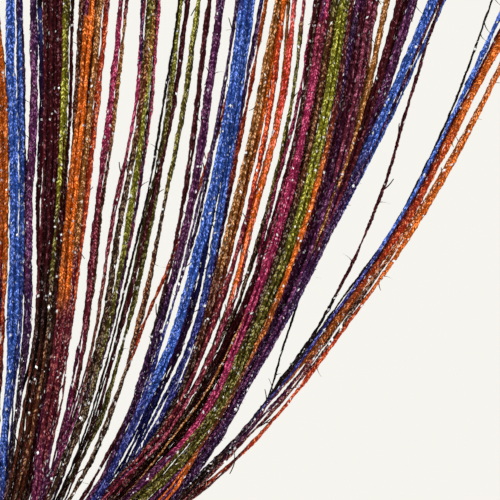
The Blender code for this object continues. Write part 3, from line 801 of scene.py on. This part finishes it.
def cloth_material(name, colour, rib):
    """A woven band: ribs along its length, threads across them and a little unevenness in the dye."""
    shader = Shader(name)
    place = shader.place()
    across, along = shader.map("cloth")[1:]
    ribs, threads = (
        shader.math("SINE", shader.math("MULTIPLY", part, TURN / pitch))
        for part, pitch in ((across, rib), (along, THREAD_PITCH))
    )
    fuzz = shader.noise(place, CLOTH_FUZZ_SCALE, 2.0)
    weave = shader.math("MULTIPLY_ADD", shader.math("MULTIPLY", ribs, threads), WEAVE_SHARE, fuzz)
    weave = shader.math("MULTIPLY_ADD", ribs, RIB_SHARE, weave)
    worn = shader.ranged(shader.noise(place, WORN_SCALE, 3.0), 0.3, 0.7, *WORN_TONES)
    shaded = shader.shaded(colour, shader.ranged(weave, 0.1, 0.9, *CLOTH_TONES), worn)
    roughness = shader.ranged(fuzz, 0.2, 0.8, *CLOTH_ROUGHNESS)
    normal = shader.relief(weave, CLOTH_RELIEF)
    return shader.finish(shaded, roughness, Specular_IOR_Level=CLOTH_SPECULAR, Normal=normal)


def finish_piece(obj, material, slot, *nodes):
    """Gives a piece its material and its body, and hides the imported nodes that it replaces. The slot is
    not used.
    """
    obj.data.materials.append(material)
    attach(obj, "root")
    if nodes:
        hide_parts(*nodes)


def build_strings(rng):
    """All strings, one piece for each family of yarn. Returns what tinsel and fibres grow from."""
    strings = string_table(rng)
    stations, detail = stations_and_detail()
    points = along_levels(string_levels(strings), stations)
    step = np.linalg.norm(np.diff(points, axis=1), axis=2)
    along = np.concatenate([np.zeros((len(strings), 1)), np.cumsum(step, 1)], 1)
    points = strayed(rng, points, along, stations, detail)
    forms, rings = string_forms(rng, strings, points, along, stations, detail)
    colours = dye_colours(rng, strings, stations, along)
    for family, highlight in PAINTED_HIGHLIGHTS.items():
        chosen = [i for i, s in enumerate(strings) if s["slot"] == family]
        piece = string_piece(f"strings_{family}", rings[chosen], along[chosen], colours[chosen])
        finish_piece(piece, yarn_material(f"{family}_yarn", *highlight), f"{family}_yarn", "strings")
    return forms | {"colours": colours, "stations": stations, "detail": detail}


def string_piece(name, rings, along, colours):
    """One joined mesh of closed strings from their rings, with its yarn map and its dye."""
    count, stations, sides = rings.shape[:3]
    first = np.arange(count)[:, None, None] * stations * sides
    row = np.arange(stations - 1)[None, :, None] * sides
    k = np.arange(sides)[None, None, :]
    after = (k + 1) % sides
    here, ahead = first + row, first + row + sides
    quads = np.stack([here + k, here + after, ahead + after, ahead + k], -1)
    # Each end is closed by a row of quads across its ring.
    j = np.arange(sides // 2 - 1)
    cap = np.stack([j, j + 1, sides - 2 - j, sides - 1 - j], -1)
    ends = first[..., None] + np.stack([cap[:, ::-1], (stations - 1) * sides + cap])
    obj = mesh_object(name, rings, np.concatenate([quads.reshape(-1, 4), ends.reshape(-1, 4)]))
    around = np.broadcast_to(np.stack([k, k + 1, k + 1, k], -1) / sides, quads.shape)
    own = np.random.default_rng(count).uniform(*STITCH_SPREAD, (count, 1))
    length = along / STITCH * own
    low, high = length[:, :-1, None], length[:, 1:, None]
    run = np.broadcast_to(np.stack([low, low, high, high], -1), quads.shape)
    uv = np.stack([around, run], -1).reshape(-1, 2)
    add_uv(obj, "yarn", np.concatenate([uv, np.zeros((ends.size, 2))]))
    add_colours(obj, "dye", np.repeat(colours.reshape(-1, 3), sides, 0))
    return obj


def pick_places(rng, grown, count, fine_share):
    """Random places on the strings, that share of them in the modelled stitches, and what is there."""
    fine = np.flatnonzero(grown["detail"] > 0)
    coarse = np.flatnonzero((grown["detail"] == 0) & (grown["stations"] > ROOT_END))
    in_fine = rng.uniform(size=count) < fine_share
    station = np.where(in_fine, rng.choice(fine, count), rng.choice(coarse, count))
    string = rng.integers(0, len(grown["points"]), count)
    # The stations and their detail are the same for every string, so those two have one index.
    return {key: values[string, station] for key, values in grown.items() if values.ndim > 1}


def build_tinsel(rng, grown, name, material, count, length, width):
    """Short glints of tinsel thread lying on the strings, as thin double-ended slivers."""
    there = pick_places(rng, grown, count, TINSEL_IN_WINDOW)
    angle = rng.uniform(0, TURN, count)
    out = (np.cos(angle) * there["half"])[:, None] * there["flat"]
    out = out + (np.sin(angle) * there["body"])[:, None] * there["thick"]
    centre = there["points"] + TINSEL_SEAT * out
    normal = out / np.linalg.norm(out, axis=1, keepdims=True)
    slant = rng.uniform(-TINSEL_SLANT, TINSEL_SLANT, count)[:, None]
    way = np.cos(slant) * there["ahead"] + np.sin(slant) * np.cross(normal, there["ahead"])
    long_half = rng.uniform(*length, count)[:, None] / 2 * way
    wide_half = rng.uniform(*width, count)[:, None] / 2 * np.cross(normal, way)
    lift = TINSEL_LIFT * normal
    points = [
        centre - long_half,
        centre + wide_half + lift,
        centre + long_half,
        centre - wide_half + lift,
        centre + lift + TINSEL_CREST * normal + 0.3 * long_half,
        centre - TINSEL_ROOT * normal,
    ]
    faces = [(0, 1, 4), (1, 2, 4), (2, 3, 4), (3, 0, 4), (1, 0, 5), (2, 1, 5), (3, 2, 5), (0, 3, 5)]
    obj = mesh_object(name, np.stack(points, 1), repeated(faces, count), smooth=False)
    finish_piece(obj, material, "tinsel")


def build_fibres(rng, grown):
    """Loose dark fibres that curl away from the strings, each a thin three-sided taper."""
    there = pick_places(rng, grown, FIBRES, FIBRES_IN_WINDOW)
    ahead = there["ahead"] * rng.choice([-1.0, 1.0], FIBRES)[:, None]
    turn = rng.choice([0.0, math.pi], FIBRES)[:, None]
    turn = turn + rng.uniform(-FIBRE_SWAY, FIBRE_SWAY, FIBRES)[:, None]
    away = np.cos(turn) * there["flat"] + np.sin(turn) * there["thick"]
    lean = rng.uniform(*FIBRE_LEAN, FIBRES)[:, None]
    length = rng.uniform(*FIBRE_LENGTH, FIBRES)[:, None]
    curl = rng.uniform(-FIBRE_CURL, FIBRE_CURL, FIBRES)[:, None]
    third = np.cross(ahead, away)
    bend = 0.8 * (np.cos(lean) * away - np.sin(lean) * ahead) + 0.6 * third
    points, faces = [], []
    for k in range(FIBRE_STEPS):
        share = k / (FIBRE_STEPS - 1)
        reach = length * share
        middle = there["points"] + reach * np.cos(lean) * ahead + reach * np.sin(lean) * away
        middle = middle + length * curl * share * share * 0.5 * bend
        radius = FIBRE_RADIUS * (1 - FIBRE_TAPER * share)
        for corner in range(3):
            angle = TURN * corner / 3
            points.append(middle + radius * (math.cos(angle) * away + math.sin(angle) * third))
            if k:
                b = 3 * k + (corner + 1) % 3
                a = 3 * k + corner
                faces += [(a - 3, b - 3, b), (a - 3, b, a)]
    last = 3 * FIBRE_STEPS
    faces += [(2, 1, 0), (last - 3, last - 2, last - 1)]
    obj = mesh_object("loose_fibres", np.stack(points, 1), repeated(faces, FIBRES))
    add_colours(obj, "dye", np.repeat(there["colours"] * FIBRE_SHADE, last, 0))
    add_uv(obj, "yarn", np.zeros((FIBRES * len(faces) * 3, 2)))
    finish_piece(obj, yarn_material("loose_fibre", *PAINTED_HIGHLIGHTS["dark"]), "dark_yarn")


def cloth_tube(name, outer, inner, flap):
    """A closed tube of cloth with a flap, from arrays of its sections: outer and inner ring
    (section, point, xyz) and flap (section, row, side, xyz), the flap hanging between the ends of the
    outer ring. Its cloth map is in metres along the tube and round it."""
    sections, rings = outer.shape[:2]
    rows = flap.shape[1]
    size = 2 * rings + 2 * rows
    points = np.concatenate([outer, inner, flap.reshape(sections, -1, 3)], 1)
    corners = []

    def edge_pair(row):
        return (0, rings - 1) if row < 0 else (2 * rings + 2 * row, 2 * rings + 2 * row + 1)

    for k in range(rings):
        after = (k + 1) % rings
        if after:
            corners.append((k, after, size + after, size + k))
        corners.append((rings + k, size + rings + k, size + rings + after, rings + after))
    for row in range(rows):
        (front, back), (front_below, back_below) = edge_pair(row - 1), edge_pair(row)
        corners.append((front, size + front, size + front_below, front_below))
        corners.append((back, back_below, size + back_below, size + back))
    front, back = edge_pair(rows - 1)
    corners.append((front, size + front, size + back, back))
    body = np.arange(sections - 1)[:, None, None] * size + np.array(corners)[None]
    lids = []
    for base, turned in ((0, False), ((sections - 1) * size, True)):
        lid = [(base + k, base + rings + k, base + rings + k + 1, base + k + 1) for k in range(rings - 1)]
        lid.append((base, base + rings - 1, base + 2 * rings - 1, base + rings))
        for row in range(rows):
            (front, back), (front_below, back_below) = edge_pair(row - 1), edge_pair(row)
            lid.append((base + front, base + front_below, base + back_below, base + back))
        lids += [face[::-1] if turned else face for face in lid]
    faces = np.concatenate([body.reshape(-1, 4), np.array(lids)])
    obj = mesh_object(name, points, faces)
    step = np.linalg.norm(np.diff(points.mean(1), axis=0), axis=1)
    run = np.repeat(np.concatenate([[0.0], np.cumsum(step)]), size)
    turn = np.cumsum(np.linalg.norm(np.diff(outer[0], axis=0), axis=1))
    turn = np.concatenate([[0.0], turn])
    down = np.linalg.norm(flap[0, :, 0] - outer[0, 0], axis=1)
    places = np.concatenate([turn, turn, np.stack([-down, turn[-1] + down], 1).ravel()])
    uv = np.stack([run, np.tile(places, sections)], 1)
    add_uv(obj, "cloth", uv[faces.ravel()])
    return obj


def sew(name, stitches, radius, material, slot):
    """Short sewn threads as joined slivers. Each stitch is its middle, its way and the way out of the
    cloth: it lies along its way and stands a little out."""
    middles, ways, outs = (np.array(part, float) for part in zip(*stitches))
    beside = np.cross(ways, outs)
    points = []
    for share, lift in ((-0.5, 0.0), (-0.25, 1.0), (0.25, 1.0), (0.5, 0.0)):
        for side in (-1.0, 1.0):
            aside = radius * (lift * outs + 0.7 * side * beside)
            points.append(middles + share * SEWN_LENGTH * ways + aside)
    points.append(middles - 0.3 * radius * outs)
    faces = [(0, 1, 3), (0, 3, 2), (2, 3, 5), (2, 5, 4), (4, 5, 7), (4, 7, 6)]
    faces += [(1, 0, 8), (0, 2, 8), (2, 4, 8), (4, 6, 8), (6, 7, 8), (7, 5, 8), (5, 3, 8), (3, 1, 8)]
    obj = mesh_object(name, np.stack(points, 1), repeated(faces, len(stitches)))
    add_uv(obj, "cloth", np.zeros((len(stitches) * len(faces) * 3, 2)))
    finish_piece(obj, material, slot)


def gathers(x):
    """Height of the small gathers that the seam draws into the heading, from -1 to 1."""
    slow = 1.7 * np.sin(TURN * x / GATHER_WAVES[0])
    fine = np.sin(TURN * x / GATHER_WAVES[1] + slow) + 0.6 * np.sin(TURN * x / GATHER_WAVES[2] - slow)
    return fine / 1.6


def skirt_face(x, drop, side):
    """A point of the heading's skirt, with its hem; the side is -1 in front and 1 at the back."""
    hem = smooth_step(*SKIRT_HEM, drop)
    middle = fold_wave(x) * drop + GATHER_DEPTH * gathers(x) * (1 - 0.55 * drop)
    half = SKIRT_CLOTH / 2 * (0.86 + 0.34 * hem - 0.45 * smooth_step(*SKIRT_EDGE, drop))
    z = -POCKET_DROP + drop * (SKIRT_BOTTOM + POCKET_DROP)
    return np.stack([x, middle + side * half, np.broadcast_to(z, np.shape(x))], -1)


def pocket_rings():
    """The rod pocket's outer and inner surfaces, gathered at the seam, each (section, point, xyz)."""
    x = np.linspace(HEAD_LEFT, HEAD_RIGHT, HEADING_SECTIONS)[:, None]
    start = SEAM_OPENING / (POCKET_POINTS - 1 + 2 * SEAM_OPENING)
    angle = TURN * np.linspace(start, 1 - start, RING_POINTS)
    near_seam = 0.25 + 0.75 * (0.5 + 0.5 * np.cos(angle)) ** 2
    soft = POCKET_SOFTNESS * np.sin(TURN * x / POCKET_WAVE + 1.3 * angle)
    puff = 0.8 * GATHER_DEPTH * gathers(x) * near_seam + soft
    ruffle = POCKET_RUFFLE * fold_wave(x) / FOLD_DEPTH * np.abs(np.sin(angle)) + puff
    for inset in (0.0, CLOTH):
        depth = (POCKET_HALF_DEPTH + ruffle - inset) * np.sin(angle)
        height = -POCKET_DROP / 2 - (POCKET_DROP / 2 + puff - inset) * np.cos(angle)
        height = np.minimum(height, -inset - TOP_CLEARANCE)
        yield np.stack([np.broadcast_to(x, depth.shape), -depth, height], -1)


def build_heading():
    """The rod pocket and its skirt, gathered: long folds as packed, with small gathers at the seam."""
    x = np.linspace(HEAD_LEFT, HEAD_RIGHT, HEADING_SECTIONS)
    rows = [np.stack([skirt_face(x, drop, side) for side in (-1, 1)], 1) for drop in SKIRT_ROWS]
    heading = cloth_tube("heading_cloth", *pocket_rings(), np.stack(rows, 1))
    cloth = cloth_material("heading_cloth", HEADING_COLOUR, HEADING_RIB)
    finish_piece(heading, cloth, "heading_cloth", "heading")
    stitches = []
    for drop in SEWN_ROWS:
        for side in (-1, 1):
            for at in np.arange(HEAD_LEFT + SEWN_INSET, HEAD_RIGHT - SEWN_INSET, SEWN_PITCH):
                stitches.append((skirt_face(at, drop, side), (1, 0, 0), (0, side, 0)))
    thread = cloth_material("heading_thread", HEADING_THREAD, HEADING_RIB)
    sew("heading_stitches", stitches, HEADING_SEWN, thread, "heading_cloth")


def build_root_braid(rng):
    """The twisted cord that the strings hang from, sewn under the heading's skirt."""
    x = np.arange(HEAD_LEFT + CORD_INSET, HEAD_RIGHT - CORD_INSET, CORD_STEP)
    middle = np.stack([x, fold_wave(x), np.full(len(x), SKIRT_BOTTOM - CORD_DROP)], 1)
    around = TURN * np.arange(CORD_SIDES) / CORD_SIDES
    ring = np.stack([0 * around, np.cos(around), np.sin(around)], -1)
    rings = []
    for strand in (0, 1):
        turn = TURN * x / CORD_LAY + strand * math.pi
        centre = middle + CORD_OFFSET * np.stack([0 * x, np.cos(turn), np.sin(turn)], 1)
        radius = CORD_RADIUS * (1 + CORD_UNEVENNESS * rng.normal(0, 1, (len(x), 1)))
        rings.append(centre[:, None] + radius[..., None] * ring)
    along = np.tile(x - x[0], (2, 1))
    colours = np.tile(linear(DYES["U"]), (2, len(x), 1))
    braid = string_piece("root_braid", np.stack(rings), along, colours)
    finish_piece(braid, yarn_material("root_braid", *PAINTED_HIGHLIGHTS["burgundy"]), "burgundy_yarn", "strings")


def tie_band():
    """The tie as a tube of cloth: a band round the bundle that dips between its hems, with its tab."""
    offsets = np.linspace(-TIE_WIDTH / 2, TIE_WIDTH / 2, TIE_ROWS)[:, None, None]
    centre = TIE_MIDDLE + offsets * TIE_AXIS
    share = offsets / (TIE_WIDTH / 2)
    hem = smooth_step(*TIE_HEM, np.abs(share))
    edge = TIE_EDGE_FALL * smooth_step(*TIE_EDGE, np.abs(share))
    start = math.asin(TIE_CLOTH / (TIE_RADIUS + TIE_CLOTH))
    angle = np.linspace(start, TURN - start, TIE_RING_STEPS)[None, :, None]
    way = -np.cos(angle) * TIE_ACROSS - np.sin(angle) * BACK
    # Soft creases run round the band, deepest beside the tab.
    turn = CREASE_RATES[0] * angle + CREASE_RATES[1] * share
    crease = TIE_CREASE * np.sin(turn) * (0.3 + 0.7 * np.cos(angle / 2) ** 2)
    bulge = crease + TIE_HEM_RISE * hem - edge
    outer = centre + (TIE_RADIUS + TIE_CLOTH + bulge) * way
    inner = centre + (TIE_RADIUS + 0.5 * crease + 0.5 * edge) * way
    reach = np.linspace(TIE_RADIUS + TIE_CLOTH, TIE_TAB_REACH, TAB_STEPS)[1:][None, :, None]
    fade = np.sin(math.pi * (reach - reach.min()) / (reach.max() - reach.min()))
    sway = TAB_SWAY * np.sin(SWAY_RATES[0] * reach + SWAY_RATES[1] * share) * fade
    thick = TIE_CLOTH * (1 + TAB_HEM_SHARE * hem) - edge
    thick = thick - TAB_TIP_FALL * smooth_step(TIE_TAB_REACH - TAB_TIP, TIE_TAB_REACH, reach)
    root = centre - reach * TIE_ACROSS
    flap = np.stack([root + (sway - thick) * BACK, root + (sway + thick) * BACK], 2)
    return cloth_tube("tie_cloth", outer, inner, flap)


def cut_eye(tie):
    """Cuts the tie's round eye through its tab."""
    angle = TURN * np.arange(EYE_POINTS)[:, None] / EYE_POINTS
    ring = TIE_EYE + TIE_EYE_RADIUS * (np.cos(angle) * TIE_ACROSS + np.sin(angle) * TIE_AXIS)
    near = np.arange(EYE_POINTS)
    after = (near + 1) % EYE_POINTS
    sides = np.stack([near, after, EYE_POINTS + after, EYE_POINTS + near], 1)
    walls = np.concatenate([ring - EYE_CUT * BACK, ring + EYE_CUT * BACK])
    cutter = mesh_object("eye_cutter", walls, sides)
    shape = bmesh.new()
    shape.from_mesh(cutter.data)
    bmesh.ops.holes_fill(shape, edges=shape.edges)
    bmesh.ops.recalc_face_normals(shape, faces=shape.faces)
    shape.to_mesh(cutter.data)
    shape.free()
    cut = tie.modifiers.new("eye", "BOOLEAN")
    cut.operation = "DIFFERENCE"
    cut.solver = "EXACT"
    cut.object = cutter
    tie.data = bpy.data.meshes.new_from_object(tie.evaluated_get(bpy.context.evaluated_depsgraph_get()))
    tie.modifiers.clear()
    bpy.data.objects.remove(cutter)


def tie_stitches():
    """Buttonhole stitches round the eye, and a row along each hem of the tab and of the band."""
    stitches = []
    for side in (-1.0, 1.0):
        out = side * BACK
        for turn in TURN * np.arange(EYE_STITCHES) / EYE_STITCHES:
            spoke = math.cos(turn) * TIE_ACROSS + math.sin(turn) * TIE_AXIS
            middle = TIE_EYE + (TIE_EYE_RADIUS + EYE_STITCH_OUT) * spoke + TIE_CLOTH * out
            stitches.append((middle, spoke, out))
        for offset in TIE_STITCH_ROWS:
            for reach in np.arange(*TAB_STITCHES, SEWN_PITCH):
                middle = TIE_MIDDLE + offset * TIE_AXIS - reach * TIE_ACROSS + 1.10 * TIE_CLOTH * out
                stitches.append((middle, TIE_ACROSS, out))
    for offset in TIE_STITCH_ROWS:
        for turn in np.arange(BAND_STITCH_START, TURN - BAND_STITCH_START, BAND_STITCH_TURN):
            out = -math.cos(turn) * TIE_ACROSS - math.sin(turn) * BACK
            middle = TIE_MIDDLE + offset * TIE_AXIS + (TIE_RADIUS + TIE_CLOTH + TIE_HEM_RISE) * out
            stitches.append((middle, np.cross(TIE_AXIS, out), out))
    return stitches


def build_tie():
    """The cloth tie: a soft band round the bundle, its ends sewn as a tab with a stitched eye."""
    tie = tie_band()
    cut_eye(tie)
    finish_piece(tie, cloth_material("tie_cloth", TIE_COLOUR, TIE_RIB), "tie_cloth", "tie")
    thread = cloth_material("tie_thread", TIE_THREAD, TIE_RIB)
    sew("tie_stitches", tie_stitches(), TIE_SEWN, thread, "tie_cloth")


def build_camera():
    """The photograph's camera, square to the curtain."""
    data = bpy.data.cameras.new("camera")
    data.sensor_width = SENSOR_MM
    data.lens = SENSOR_MM * CAMERA_DISTANCE / PHOTO_WIDTH
    camera = bpy.data.objects.new("camera", data)
    camera.location = (VIEW_X, -CAMERA_DISTANCE, VIEW_Z)
    camera.rotation_euler = (math.pi / 2, 0, 0)
    bpy.context.scene.collection.objects.link(camera)
    bpy.context.scene.camera = camera


def build_lights():
    """An even light sky, and area lights that look at the window's middle."""
    world = bpy.data.worlds.new("studio")
    world.use_nodes = True
    background = world.node_tree.nodes["Background"]
    background.inputs["Color"].default_value = (*linear(SKY), 1)
    background.inputs["Strength"].default_value = 1.0
    bpy.context.scene.world = world
    for name, place, size, power, colour in LIGHTS:
        data = bpy.data.lights.new(name, "AREA")
        data.size = size
        data.energy = power
        data.color = colour
        light = bpy.data.objects.new(name, data)
        light.location = place
        towards = Vector((VIEW_X, 0, VIEW_Z)) - Vector(place)
        light.rotation_euler = towards.to_track_quat("-Z", "Y").to_euler()
        bpy.context.scene.collection.objects.link(light)


def build_floor():
    """The studio's floor, under the strings' ends."""
    reach = FLOOR_REACH
    corners = [(-reach, -reach), (reach, -reach), (reach, reach), (-reach, reach)]
    floor = mesh_object("floor", [(x, y, FLOOR_Z) for x, y in corners], [(0, 1, 2, 3)])
    floor.data.materials.append(Shader("floor").finish(FLOOR_COLOUR, FLOOR_ROUGHNESS))


def main():
    bpy.context.scene.view_settings.view_transform = "Standard"
    rng = np.random.default_rng(SEED)
    grown = build_strings(rng)
    tinsel = tinsel_material()
    build_tinsel(rng, grown, "tinsel_glints", tinsel, *GLINTS)
    build_tinsel(rng, grown, "tinsel_specks", tinsel, *SPECKS)
    build_fibres(rng, grown)
    build_root_braid(rng)
    build_heading()
    build_tie()
    build_camera()
    build_lights()
    build_floor()


main()
